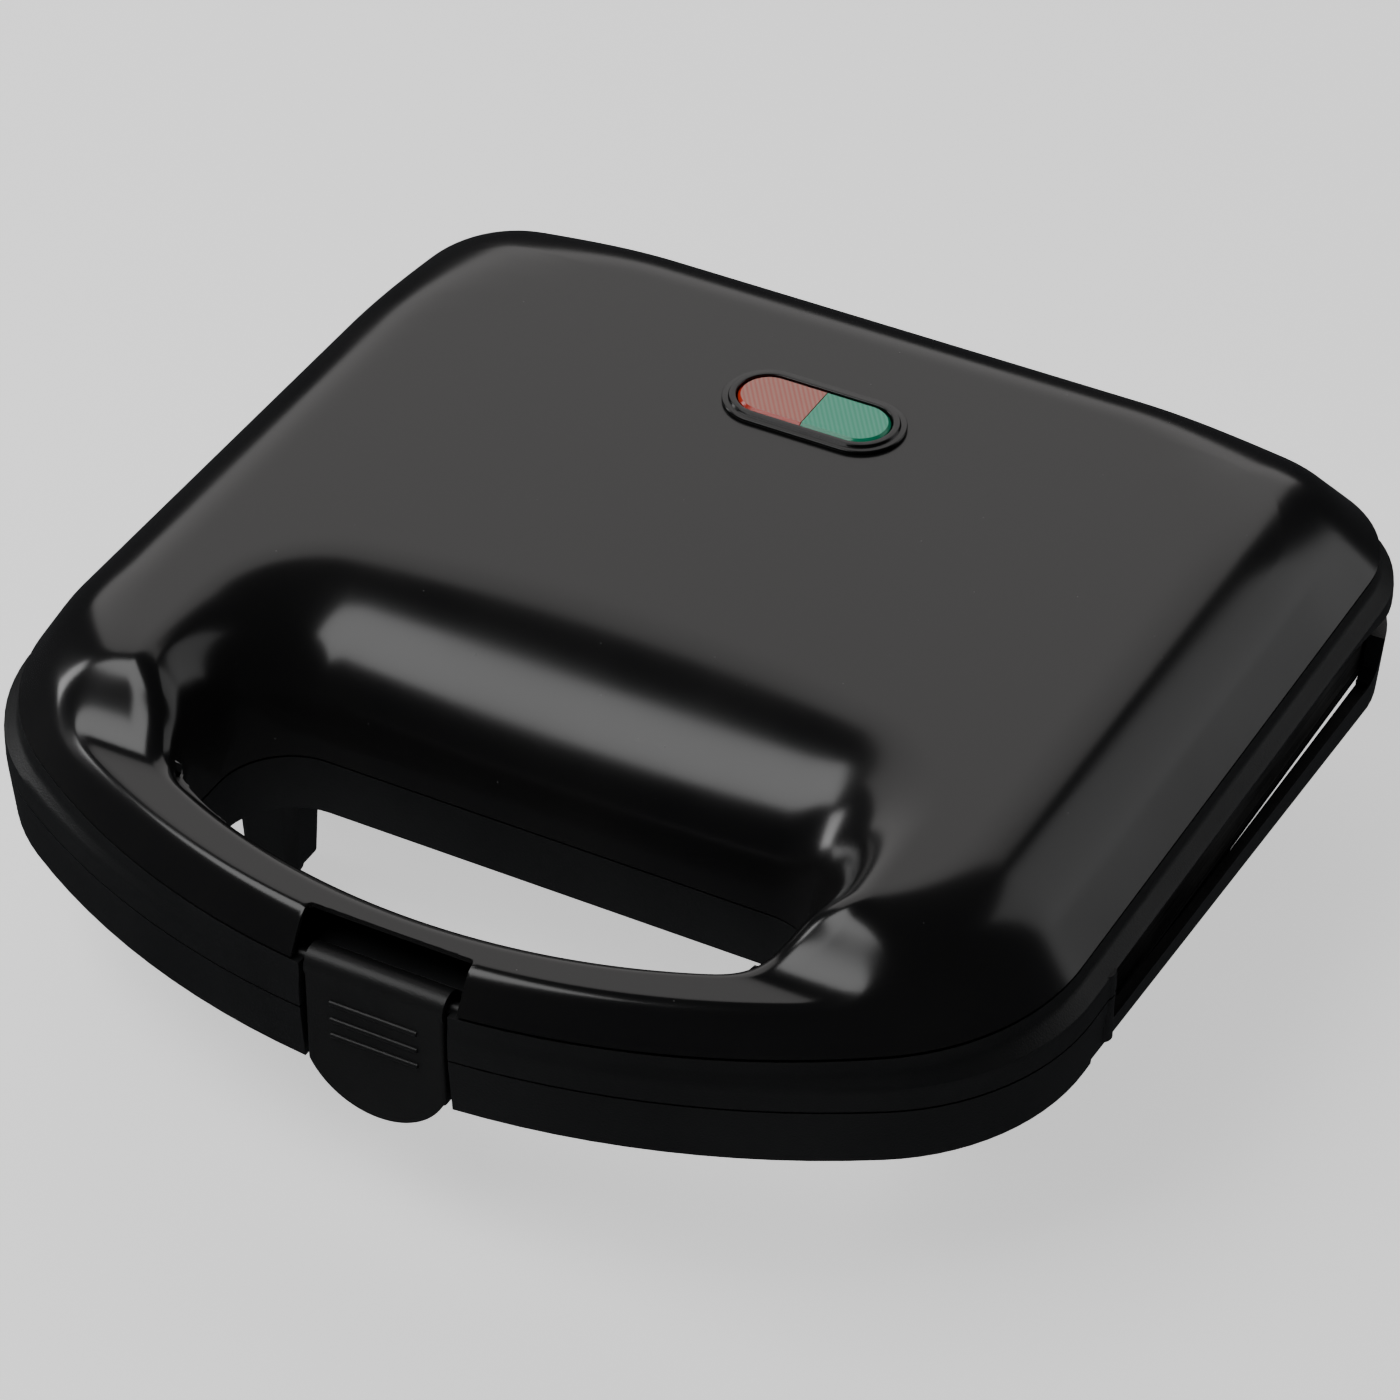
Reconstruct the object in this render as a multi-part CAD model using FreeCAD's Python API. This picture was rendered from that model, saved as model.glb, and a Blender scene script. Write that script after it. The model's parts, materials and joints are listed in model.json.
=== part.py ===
"""Seven-ring donut maker: a hinged lid with a front latch over a base on four legs.

Millimetres, +Z up, handle and latch towards -Y, origin on the table under the middle of the box.
"""
import FreeCAD, Part
import math
import os

V = FreeCAD.Vector

# Heights of the main planes
SEAM_Z = 58.0          # glossy cover meets the upper frame
PART_Z = 47.0          # lid meets base
HALF_GAP = 0.2         # half the gap between lid and base
TOP_Z = 79.0           # flat top of the cover
BAND_Z = 33.5          # underside of the lower frame at the handle
FLOOR_Z = 11.0         # underside of the lower housing
PAD_Z = 2.0            # height of the rubber pads

# Outlines: half width, front edge, front radius, front corner, back edge, back radius, back corner
SEAM = dict(w=118.0, yf=-122.8, rf=170.0, cf=50.0, yb=117.0, rb=None, cb=28.0)
FRAME = dict(w=121.5, yf=-123.1, rf=186.0, cf=50.0, yb=119.0, rb=None, cb=30.0)
HOLE = dict(w=67.5, yf=-105.5, rf=150.0, cf=14.0, yb=-54.3, rb=None, cb=16.0)
TOP = dict(w=92.0, yf=-96.8, rf=144.0, cf=26.0, yb=91.0, rb=None, cb=36.0)
RIM = dict(w=83.0, yf=-111.0, rf=137.0, cf=22.0, yb=-15.5, rb=276.0, cb=30.0)

# Walls
WALL = 2.5
COVER_WALL = 2.4
HOLE_WALL = 2.0
SHEET = 0.8

# Cover section and finger scoop
EDGE_R = 24.0          # radius of the rounded edge
EDGE_WIDTH = 26.0      # the flat starts this far inside the seam along the sides
EDGE_SLOPE = 1.6
CREST_Z = 67.0         # top of the handle bar
LIP_FRONT_Z = 60.5     # scoop surface where it meets the opening, handle side
LIP_BACK_Z = 49.0      # the same at the back of the opening
BLEND = 3.0

# Plates and their ring moulds
PLATE_X = 106.0
PLATE_Y = (-42.0, 106.0)
PLATE_MID_Y = 32.0
PLATE_T = 6.0
CUP_T = 6.0
CUP_R = 26.5
RING_R = 14.5
TUBE_R = 9.0
PITCH_X = 62.0
PITCH_Y = 47.0
RINGS = ([(-PITCH_X, PLATE_MID_Y), (0.0, PLATE_MID_Y), (PITCH_X, PLATE_MID_Y)]
         + [(sx * PITCH_X / 2, PLATE_MID_Y + sy * PITCH_Y) for sx in (-1, 1) for sy in (-1, 1)])

# Rib at the front end of each side gap
RIDGE = (119.6, -44.0)
RIDGE_R = 2.3

# Rear hinge
HINGE_Y = 119.1
KNUCKLE_R = 3.6
KNUCKLE_CLEAR = 0.4
PIN_R = 1.5
RUN_FIT = 0.05
HINGE_X = 71.0         # middle of each hinge
LID_KNUCKLE = 10.0     # width of the lid's knuckle
BASE_KNUCKLE = 5.6     # width of each of the base's two knuckles

# Latch and its notch in the handle
LATCH_HALF = 15.6
LATCH_Y = -122.1
LATCH_T = 3.0
PIVOT_Y = -118.5
PIVOT_Z = 57.4
BARREL_R = 3.6
NOTCH_HALF = 16.7
NOTCH_TOP_HALF = 18.6
NOTCH_Y = -117.3
NOTCH_TOP_Y = -113.9
NOTCH_STEP_Z = 52.5
HOOK_Z = (38.2, 40.6)

# Lamp window
LAMP_Y = 62.5
LAMP_L = 42.0
LAMP_W = 20.0

# Legs: centre x and y, front pair then rear pair
LEGS = [(-74.0, -39.0), (74.0, -39.0), (-80.0, 88.0), (80.0, 88.0)]
POSTS = [(sx * 96.0, y) for sx in (-1, 1) for y in (-20.0, 92.0)]
COVER_BOSSES = [(sx * 109.4, y) for sx in (-1, 1) for y in (-20.0, 84.0)]


# ---------------------------------------------------------------- helpers
def inset(o, d):
    """The same outline moved inwards by d."""
    back = None if o["rb"] is None else o["rb"] - d
    return dict(w=o["w"] - d, yf=o["yf"] + d, rf=o["rf"] - d, cf=o["cf"] - d,
                yb=o["yb"] - d, rb=back, cb=o["cb"] - d)


def between(a, b, t):
    """An outline part of the way from a to b."""
    mixed = {k: a[k] + (b[k] - a[k]) * t for k in a if k != "rb"}
    mixed["rb"] = None
    return mixed


def centres(o):
    """Arc centres of an outline: front arc, front corner, back corner."""
    front_y = o["yf"] + o["rf"]
    fx = o["w"] - o["cf"]
    fy = front_y - math.sqrt((o["rf"] - o["cf"]) ** 2 - fx ** 2)
    bx = o["w"] - o["cb"]
    by = o["yb"] - o["cb"]
    if o["rb"] is not None:
        by = o["yb"] - o["rb"] + math.sqrt((o["rb"] - o["cb"]) ** 2 - bx ** 2)
    return front_y, (fx, fy), (bx, by)


def outline(o, z):
    """Closed wire of an outline at height z."""
    front_y, (fx, fy), (bx, by) = centres(o)
    k = o["rf"] / (o["rf"] - o["cf"])
    tx, ty = fx * k, front_y + (fy - front_y) * k
    front_angle = math.atan2(fy - front_y, fx)
    mid = front_angle / 2
    edges = []
    if o["rb"] is None:
        back_x, back_y, back_angle = bx, o["yb"], math.pi / 2
        edges.append(Part.makeLine(V(back_x, back_y, z), V(-back_x, back_y, z)))
    else:
        back_angle = math.atan2(by - (o["yb"] - o["rb"]), bx)
        back_x = o["rb"] * math.cos(back_angle)
        back_y = o["yb"] - o["rb"] + o["rb"] * math.sin(back_angle)
        edges.append(Part.Arc(V(back_x, back_y, z), V(0, o["yb"], z), V(-back_x, back_y, z)).toShape())
    half = back_angle / 2
    for s in (-1, 1):
        back_mid = V(s * (bx + o["cb"] * math.cos(half)), by + o["cb"] * math.sin(half), z)
        front_mid = V(s * (fx + o["cf"] * math.cos(mid)), fy + o["cf"] * math.sin(mid), z)
        chain = [Part.Arc(V(s * back_x, back_y, z), back_mid, V(s * o["w"], by, z)).toShape(),
                 Part.makeLine(V(s * o["w"], by, z), V(s * o["w"], fy, z)),
                 Part.Arc(V(s * o["w"], fy, z), front_mid, V(s * tx, ty, z)).toShape()]
        edges = edges + chain
    edges.append(Part.Arc(V(-tx, ty, z), V(0, o["yf"], z), V(tx, ty, z)).toShape())
    return Part.Wire(Part.__sortEdges__(edges))


def prism(o, z0, z1):
    return Part.Face(outline(o, z0)).extrude(V(0, 0, z1 - z0))


def loft(levels):
    """Ruled solid through (outline, height) pairs."""
    return Part.makeLoft([outline(o, z) for o, z in levels], True, True)


def box(x0, x1, y0, y1, z0, z1):
    return Part.makeBox(x1 - x0, y1 - y0, z1 - z0, V(x0, y0, z0))


def mirrored_pair(shape):
    return [shape, shape.mirror(V(0, 0, 0), V(1, 0, 0))]


def cyl(x, y, z0, z1, r):
    return Part.makeCylinder(r, z1 - z0, V(x, y, z0))


def rod_x(x0, x1, y, z, r):
    return Part.makeCylinder(r, x1 - x0, V(x0, y, z), V(1, 0, 0))


def rounded_box(x0, x1, y0, y1, z0, z1, r):
    """Box with rounded upright edges."""
    block = box(x0, x1, y0, y1, z0, z1)
    upright = [e for e in block.Edges if abs(e.Vertexes[0].Z - e.Vertexes[1].Z) > 1e-6]
    return block.makeFillet(r, upright)


def stadium(length, width, z0, z1, y=LAMP_Y):
    """Upright slot-shaped solid, long along X."""
    r = width / 2
    x = length / 2 - r
    ends = cyl(-x, y, z0, z1, r).fuse(cyl(x, y, z0, z1, r))
    return ends.fuse(box(-x, x, y - r, y + r, z0, z1)).removeSplitter()


def wedge(x0, x1, profile):
    """Solid with a (y, z) side profile, from x0 to x1."""
    points = [V(x0, y, z) for y, z in profile]
    return Part.Face(Part.makePolygon(points + points[:1])).extrude(V(x1 - x0, 0, 0))


def join(shapes):
    return shapes[0].fuse(shapes[1:]) if len(shapes) > 1 else shapes[0]


def save(name, shape):
    shape = shape.removeSplitter()
    if len(shape.Solids) == 1:
        shape = shape.Solids[0]
    elif shape.ShapeType != "Compound":
        shape = Part.makeCompound(shape.Solids)
    shape.exportStep(os.path.join("parts", name + ".step"))
    print("%-22s solids %d  volume %.0f" % (name, len(shape.Solids), shape.Volume), shape.isValid())


# ---------------------------------------------------------------- cover surface
def depth_inside(o, x, y):
    """Distance from (x, y) to an outline, positive inside it."""
    front_y, (fx, fy), (bx, by) = centres(o)
    x = abs(x)
    if y < fy and x * (front_y - fy) > fx * (front_y - y):
        return o["cf"] - math.hypot(x - fx, y - fy)
    back_y = o["yb"] - (o["rb"] or 1e4)
    if y > by and x * (by - back_y) > bx * (y - back_y):
        return o["cb"] - math.hypot(x - bx, y - by)
    back = o["yb"] - y if o["rb"] is None else o["rb"] - math.hypot(x, y - back_y)
    return min(o["w"] - x, o["rf"] - math.hypot(x, y - front_y), back)


def smooth_step(t):
    t = min(max(t, 0.0), 1.0)
    return t * t * t * (t * (6 * t - 15) + 10)


def smooth_min(a, b, k):
    h = max(k - abs(a - b), 0.0) / k
    return min(a, b) - h * h * k / 4


def edge_height(x, y):
    """Height of the rounded edge: foot, round and flat between the seam and the outline of the flat top."""
    from_seam = max(depth_inside(SEAM, x, y), 0.0)
    from_top = -depth_inside(TOP, x, y)
    if from_top <= 0:
        return TOP_Z
    d = EDGE_WIDTH * from_seam / (from_seam + from_top)
    centre_z = TOP_Z - EDGE_R
    line_end = EDGE_WIDTH - EDGE_R * EDGE_SLOPE / math.hypot(1, EDGE_SLOPE)
    if d >= EDGE_WIDTH:
        return TOP_Z
    if d >= line_end:
        return centre_z + math.sqrt(EDGE_R ** 2 - (EDGE_WIDTH - d) ** 2)
    arc_z = centre_z + math.sqrt(EDGE_R ** 2 - (EDGE_WIDTH - line_end) ** 2)
    return arc_z - (line_end - d) * EDGE_SLOPE


def cover_height(x, y):
    """Height of the cover's outer surface."""
    shoulder = CREST_Z + 16.0 * smooth_step((y + 96.0) / 28.0)
    top = smooth_min(edge_height(x, y), shoulder, BLEND)
    outside = -depth_inside(HOLE, x, y)
    inside_rim = depth_inside(RIM, x, y)
    if inside_rim <= 0:
        return top
    lip = LIP_FRONT_Z + (LIP_BACK_Z - LIP_FRONT_Z) * smooth_step((y + 90.0) / 25.0)
    ease = 1.0
    reach = max(outside, -6.0) + ease
    share = reach / (max(outside, 0.0) + ease + inside_rim)
    if share <= 0.02:
        return lip + (top - lip) * (0.2 + (share - 0.02) * 4.9)
    return lip + (top - lip) * math.sqrt(1 - (1 - share) ** 2)


def under_cover(drop):
    """Everything under the cover's surface, lowered by drop, down to below the parting plane."""
    step_x, step_y = 3.0, 2.5
    nx, ny = 84, 100
    rows = [[cover_height((i - nx / 2) * step_x, (j - ny / 2) * step_y) - drop for j in range(ny + 1)]
            for i in range(nx + 1)]
    surface = Part.BSplineSurface()
    points = [[V((i - nx / 2) * step_x, (j - ny / 2) * step_y, z) for j, z in enumerate(row)]
              for i, row in enumerate(rows)]
    surface.interpolate(points)
    return surface.toShape().extrude(V(0, 0, -40.0))


# ---------------------------------------------------------------- lid
def notch(clear_y):
    """Space for the latch: narrow through the frames, wider and deeper at the top."""
    low = box(-NOTCH_HALF, NOTCH_HALF, -130, NOTCH_Y, BAND_Z - 5, NOTCH_STEP_Z)
    high = box(-NOTCH_HALF, NOTCH_HALF, -130, clear_y, NOTCH_STEP_Z, 90)
    return low.fuse(high)


def knuckle_space(x0, x1):
    return rod_x(x0, x1, HINGE_Y, PART_Z, KNUCKLE_R + KNUCKLE_CLEAR)


def hinge_knuckle(x0, x1, up):
    """Barrel round the hinge axis with a web to the frame's rear wall."""
    lid_side = 1 if up else -1
    barrel = rod_x(x0, x1, HINGE_Y, PART_Z, KNUCKLE_R)
    low, high = sorted((PART_Z + lid_side * HALF_GAP, PART_Z + lid_side * KNUCKLE_R))
    web = box(x0, x1, HINGE_Y - 8.0, HINGE_Y, low, high)
    return barrel.fuse(web)


def corner_ridge(z0, z1):
    """Upright half-round rib where each side gap begins."""
    return cyl(RIDGE[0], RIDGE[1], z0, z1, RIDGE_R)


def base_knuckle_spans():
    half = LID_KNUCKLE / 2 + KNUCKLE_CLEAR
    return [(HINGE_X - half - BASE_KNUCKLE, HINGE_X - half), (HINGE_X + half, HINGE_X + half + BASE_KNUCKLE)]


def top_cover():
    low = PART_Z + HALF_GAP + 0.1
    under = under_cover(0.0)
    body = under.common(prism(SEAM, SEAM_Z, 90))
    collar = under.common(prism(inset(HOLE, -HOLE_WALL), low, 90))
    inner = under_cover(COVER_WALL).common(prism(inset(SEAM, COVER_WALL), 40, 90))
    inner = inner.cut(prism(inset(HOLE, -HOLE_WALL), 39, 90))
    cover = body.fuse(collar).cut([inner, prism(HOLE, 39, 90)])
    bosses = join([cyl(x, y, SEAM_Z - 1.0, 90, 3.5) for x, y in COVER_BOSSES]).common(under)
    cover = cover.fuse(bosses)
    screw_holes = [cyl(x, y, SEAM_Z - 2, SEAM_Z + 6, PIN_R) for x, y in COVER_BOSSES]
    window = stadium(39.0, 17.2, 70, 90)
    top_notch = rounded_box(-NOTCH_TOP_HALF, NOTCH_TOP_HALF, -140, NOTCH_TOP_Y, 40, 90, 1.0)
    pivot = rod_x(-20.0, 20.0, PIVOT_Y, PIVOT_Z, PIN_R + RUN_FIT)
    return cover.cut(screw_holes + [window, top_notch, pivot])


def upper_frame():
    low = PART_Z + HALF_GAP
    shoulder = [(0.04, 55.6), (0.28, 54.4), (0.68, 53.4), (0.96, 52.5)]
    sections = [(between(SEAM, FRAME, t), z) for t, z in shoulder]
    body = loft([(SEAM, SEAM_Z)] + sections + [(FRAME, 51.4), (FRAME, low)])
    shelf_z = SEAM_Z - 3.5
    plate_room = prism(inset(SEAM, 2.6), low - 1, shelf_z).cut(box(-130, 130, -130, -46.5, 40, 90))
    cover_room = prism(inset(SEAM, 2.6), SEAM_Z - 1.0, SEAM_Z + 1)
    handle_room = prism(inset(SEAM, 2.6), low + WALL, SEAM_Z + 1)
    handle_room = handle_room.cut([prism(inset(HOLE, -4.8), 40, 90), box(-130, 130, -49, 130, 40, 90),
                                   box(-22, 22, -130, -106, 40, 90)])
    cover_room = cover_room.cut([prism(inset(HOLE, -4.8), 40, 90), box(-22, 22, -130, -106, 40, 90)])
    cups = box(-102, 102, -43, 107, 40, 90)
    side_gap = wedge(108.0, 130.0, [(-42.0, 40.0), (-42.0, 52.3), (74.0, 51.8), (94.0, 48.6), (130.0, 48.6),
                                    (130.0, 40.0)])
    spans = base_knuckle_spans()
    cuts = [plate_room, cover_room, handle_room, cups, prism(inset(HOLE, -HOLE_WALL - 0.1), 40, 90)]
    cuts = cuts + mirrored_pair(side_gap) + [notch(NOTCH_TOP_Y)]
    body = body.cut(cuts)
    block = box(HINGE_X - 12, HINGE_X + 12, HINGE_Y - 8, FRAME["yb"], low, SEAM_Z - 1)
    body = body.fuse(mirrored_pair(block))
    for x0, x1 in spans:
        body = body.cut(mirrored_pair(knuckle_space(x0 - KNUCKLE_CLEAR, x1 + KNUCKLE_CLEAR)))
    half = LID_KNUCKLE / 2
    body = body.fuse(mirrored_pair(hinge_knuckle(HINGE_X - half, HINGE_X + half, True)))
    body = body.cut(mirrored_pair(rod_x(HINGE_X - 20, HINGE_X + 20, HINGE_Y, PART_Z, PIN_R + RUN_FIT)))
    body = body.fuse(mirrored_pair(corner_ridge(low, 52.8)))
    screws = [cyl(x, y, 50, SEAM_Z + 1, 1.7) for x, y in COVER_BOSSES]
    pivot = rod_x(-20.0, 20.0, PIVOT_Y, PIVOT_Z, PIN_R)
    return body.cut(screws + [pivot])


def ring_mould(x, y, z):
    """Lower half of a ring, carried a little above its middle plane so that it cuts cleanly."""
    a, b = V(x + RING_R - TUBE_R, y, z), V(x + RING_R + TUBE_R, y, z)
    rise = V(0, 0, 2.0)
    bowl = Part.Arc(a, V(x + RING_R, y, z - TUBE_R), b).toShape()
    wire = Part.Wire([bowl, Part.makeLine(b, b + rise), Part.makeLine(b + rise, a + rise),
                      Part.makeLine(a + rise, a)])
    return Part.Face(wire).revolve(V(x, y, z), V(0, 0, 1), 360)


def ring_plate(up):
    """Cast plate with seven half-ring moulds; the lid's plate is the base's turned over."""
    face_z = PART_Z - HALF_GAP
    slab = rounded_box(-PLATE_X, PLATE_X, PLATE_Y[0], PLATE_Y[1], face_z - PLATE_T, face_z, 12.0)
    cups = [cyl(x, y, face_z - PLATE_T - CUP_T, face_z - PLATE_T, CUP_R) for x, y in RINGS]
    plate = slab.fuse(cups)
    plate = plate.cut([ring_mould(x, y, face_z) for x, y in RINGS])
    if up:
        posts = [cyl(x, y, face_z - PLATE_T - 6.8, face_z - PLATE_T, 4.0) for x, y in POSTS]
        plate = plate.fuse(posts)
        plate = plate.cut([cyl(x, y, face_z - PLATE_T - 6.8, face_z - PLATE_T, PIN_R) for x, y in POSTS])
        return plate.mirror(V(0, 0, PART_Z), V(0, 0, 1))
    return plate.cut([cyl(x, y, face_z - PLATE_T, face_z - 2.0, PIN_R) for x, y in POSTS])


def heater(z):
    """U-shaped sheathed element: a rod along three sides with round corners."""
    x, y0, y1, r = 72.0, -12.0, 88.0, 25.0
    q = r * (1 - math.sqrt(0.5))
    path = Part.Wire([Part.makeLine(V(-x, y1, z), V(-x, y0 + r, z)),
                      Part.Arc(V(-x, y0 + r, z), V(-x + q, y0 + q, z), V(-x + r, y0, z)).toShape(),
                      Part.makeLine(V(-x + r, y0, z), V(x - r, y0, z)),
                      Part.Arc(V(x - r, y0, z), V(x - q, y0 + q, z), V(x, y0 + r, z)).toShape(),
                      Part.makeLine(V(x, y0 + r, z), V(x, y1, z))])
    ring = Part.Wire(Part.makeCircle(3.2, V(-x, y1, z), V(0, 1, 0)))
    return path.makePipeShell([ring], True, True)


def heater_beads(z):
    """Ceramic beads where the element's cold ends come out."""
    return [Part.makeCylinder(4.2, 9.0, V(sx * 72.0, 88.0, z), V(0, 1, 0)) for sx in (-1, 1)]


def heater_clips(plate_z, z, away):
    """Straps that hold the element against the cups."""
    clips = []
    for x, y, along_x in [(-72, 32, False), (72, 32, False), (-31, -12, True), (31, -12, True)]:
        a, b = (5.0, 6.0) if along_x else (6.0, 5.0)
        low, high = sorted((plate_z, z + away * 4.3))
        outer = box(x - a, x + a, y - b, y + b, low, high)
        la, lb = (a, b - 1.0) if along_x else (a - 1.0, b)
        low, high = sorted((plate_z, z + away * 3.3))
        clips.append(outer.cut(box(x - la, x + la, y - lb, y + lb, low, high)))
    return clips


def pressed_pan(flange_z, floor_z, flange_x, flange_y, with_sides):
    """Sheet-steel pan with a flange; the base's pan also has upturned side walls."""
    up = 1 if floor_z > flange_z else -1
    t = SHEET * up
    x, y0, y1 = 88.0, -34.0, 98.0
    low, high = sorted((flange_z, floor_z + t))
    outer = rounded_box(-x, x, y0, y1, low, high, 8.0)
    low, high = sorted((flange_z - t * 2, floor_z))
    inner = rounded_box(-x + SHEET, x - SHEET, y0 + SHEET, y1 - SHEET, low, high, 7.0)
    low, high = sorted((flange_z, flange_z + t))
    flange = box(-flange_x, flange_x, flange_y[0], flange_y[1], low, high)
    pan = outer.fuse(flange).cut(inner)
    if with_sides:
        wall = box(flange_x - SHEET, flange_x, flange_y[0] + 4, flange_y[1] - 8, flange_z + t, 42.0)
        pan = pan.fuse(mirrored_pair(wall))
        pan = pan.common(prism(inset(FRAME, 5.2), 20, 50))
    r = 4.8 if with_sides else 1.7
    return pan.cut([cyl(px, py, flange_z - 2, flange_z + 2, r) for px, py in POSTS])


def screw(x, y, z_head, z_tip, head_r, head_t):
    """Pan-head screw along Z, head at z_head, point at z_tip."""
    up = 1 if z_tip > z_head else -1
    low, high = sorted((z_head, z_head + up * head_t))
    head = cyl(x, y, low, high, head_r)
    slot = box(x - 0.4, x + 0.4, y - head_r, y + head_r, z_head - 0.6, z_head + 0.6)
    low, high = sorted((z_head + up * head_t, z_tip))
    return head.cut(slot).fuse(cyl(x, y, low, high, PIN_R))


def lamp_bezel():
    ring = stadium(LAMP_L, LAMP_W, TOP_Z, TOP_Z + 0.9).fuse(stadium(39.0, 17.2, TOP_Z, TOP_Z + 1.5))
    ring = ring.fuse(stadium(38.6, 16.8, 73.0, TOP_Z))
    return ring.cut(stadium(35.8, 14.2, 72.0, 82.0))


def lens(side):
    whole = stadium(35.0, 13.4, 75.0, TOP_Z + 1.5)
    top_edges = [e for e in whole.Edges if e.BoundBox.ZMin > TOP_Z + 1.4]
    whole = whole.makeChamfer(0.6, top_edges)
    x0, x1 = (-20.0, -0.1) if side < 0 else (0.1, 20.0)
    return whole.common(box(x0, x1, LAMP_Y - 10, LAMP_Y + 10, 70, 85))


def lamp_holder():
    tray = stadium(34.8, 13.2, 70.9, 74.4)
    return tray.cut(box(-13.0, 13.0, LAMP_Y - 4.0, LAMP_Y + 4.0, 72.0, 75.0))


def neon_lamps():
    return [rod_x(x0, x0 + 9.0, LAMP_Y, 73.5, 1.5) for x0 in (-11.0, 2.0)]


def thermostat_bracket():
    strap = box(-25, 25, 27, 37, 67.0, 68.0)
    feet = [box(x, x + 1.0, 27, 37, 59.2, 67.0) for x in (-25.0, 24.0)]
    return strap.fuse(feet)


def latch():
    """Latch: barrel on the pin, flat face with grip ribs, thumb tab and a hook behind."""
    barrel = rod_x(-LATCH_HALF, LATCH_HALF, PIVOT_Y, PIVOT_Z, BARREL_R)
    plate = box(-LATCH_HALF, LATCH_HALF, LATCH_Y, LATCH_Y + LATCH_T, 34.5, PIVOT_Z)
    upright = [e for e in plate.Edges if e.BoundBox.ZLength > 10 and e.CenterOfMass.y < LATCH_Y + 0.1]
    plate = plate.makeFillet(0.8, upright)
    left, right = V(-LATCH_HALF + 0.4, LATCH_Y, 34.5), V(LATCH_HALF - 0.4, LATCH_Y, 34.5)
    curve = Part.Arc(left, V(0, LATCH_Y, 25.0), right).toShape()
    tab = Part.Face(Part.Wire([curve, Part.makeLine(right, left)])).extrude(V(0, LATCH_T, 0))
    ribs = [rod_x(-9.8, 9.8, LATCH_Y, z, 0.6) for z in (50.9, 46.6, 42.6)]
    hook = box(-9.0, 9.0, LATCH_Y + LATCH_T, -116.4, HOOK_Z[0], HOOK_Z[1])
    body = join([barrel, plate, tab, hook] + ribs)
    return body.cut(rod_x(-20, 20, PIVOT_Y, PIVOT_Z, PIN_R + RUN_FIT))


# ---------------------------------------------------------------- base
def lower_frame():
    high = PART_Z - HALF_GAP
    body = loft([(FRAME, high), (inset(FRAME, 1.2), BAND_Z), (inset(FRAME, 2.0), 24.6)])
    front_under = box(-130, 130, -130, -50.0, 20, BAND_Z)
    side_under = wedge(-130.0, 130.0, [(-50.0, 20.0), (-50.0, 34.6), (90.0, 25.2), (130.0, 25.2),
                                       (130.0, 20.0)])
    side_top = wedge(108.0, 130.0, [(-42.0, 50.0), (-42.0, 38.6), (88.0, 32.2), (92.0, 34.0), (95.5, 40.0),
                                    (130.0, 40.0), (130.0, 50.0)])
    ledge = wedge(108.0, 119.8, [(-41.0, 50.0), (-41.0, 35.4), (0.0, 33.4), (88.5, 31.4), (88.5, 50.0)])
    housing_room = prism(inset(FRAME, 4.6), 20, 50).cut(box(-130, 130, -130, -51.8, 10, 60))
    deck = prism(inset(FRAME, 4.0), high - WALL, high)
    front_deck = deck.common(box(-130, 130, -53.0, -43.5, 40, 50))
    back_deck = deck.common(box(-130, 130, 107.5, 130, 40, 50))
    handle_room = prism(inset(FRAME, 3.4), 20, high - WALL)
    handle_room = handle_room.cut([prism(inset(HOLE, -WALL), 10, 60), box(-130, 130, -54.0, 130, 10, 60),
                                   box(-22, 22, -130, -106, 10, 60)])
    body = body.cut([front_under, side_under, housing_room, handle_room]).fuse([front_deck, back_deck])
    openings = [prism(HOLE, 10, 60), notch(NOTCH_TOP_Y)]
    body = body.cut(openings + mirrored_pair(side_top) + mirrored_pair(ledge))
    pocket = box(-10.0, 10.0, NOTCH_Y - 1, -115.4, HOOK_Z[0] - 1.2, HOOK_Z[1] + 0.3)
    blocks = mirrored_pair(box(HINGE_X - 12, HINGE_X + 12, HINGE_Y - 8, FRAME["yb"], 40.0, high))
    body = body.cut(pocket).fuse(blocks + mirrored_pair(corner_ridge(36.0, high)))
    half = LID_KNUCKLE / 2 + KNUCKLE_CLEAR
    body = body.cut(mirrored_pair(knuckle_space(HINGE_X - half, HINGE_X + half)))
    for x0, x1 in base_knuckle_spans():
        body = body.fuse(mirrored_pair(hinge_knuckle(x0, x1, False)))
    return body.cut(mirrored_pair(rod_x(HINGE_X - 20, HINGE_X + 20, HINGE_Y, PART_Z, PIN_R)))


def rect_wire(x, y0, y1, z, r):
    """Rounded rectangle, used as a section of the housing and the legs."""
    q = r * (1 - math.sqrt(0.5))
    edges = [Part.makeLine(V(-x + r, y0, z), V(x - r, y0, z)),
             Part.Arc(V(x - r, y0, z), V(x - q, y0 + q, z), V(x, y0 + r, z)).toShape(),
             Part.makeLine(V(x, y0 + r, z), V(x, y1 - r, z)),
             Part.Arc(V(x, y1 - r, z), V(x - q, y1 - q, z), V(x - r, y1, z)).toShape(),
             Part.makeLine(V(x - r, y1, z), V(-x + r, y1, z)),
             Part.Arc(V(-x + r, y1, z), V(-x + q, y1 - q, z), V(-x, y1 - r, z)).toShape(),
             Part.makeLine(V(-x, y1 - r, z), V(-x, y0 + r, z)),
             Part.Arc(V(-x, y0 + r, z), V(-x + q, y0 + q, z), V(-x + r, y0, z)).toShape()]
    return Part.Wire(edges)


def tub(x_top, y_top, x_low, y_low, z_top, z_low, r):
    return Part.makeLoft([rect_wire(x_top, y_top[0], y_top[1], z_top, r),
                          rect_wire(x_low, y_low[0], y_low[1], z_low, r)], True, True)


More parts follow.
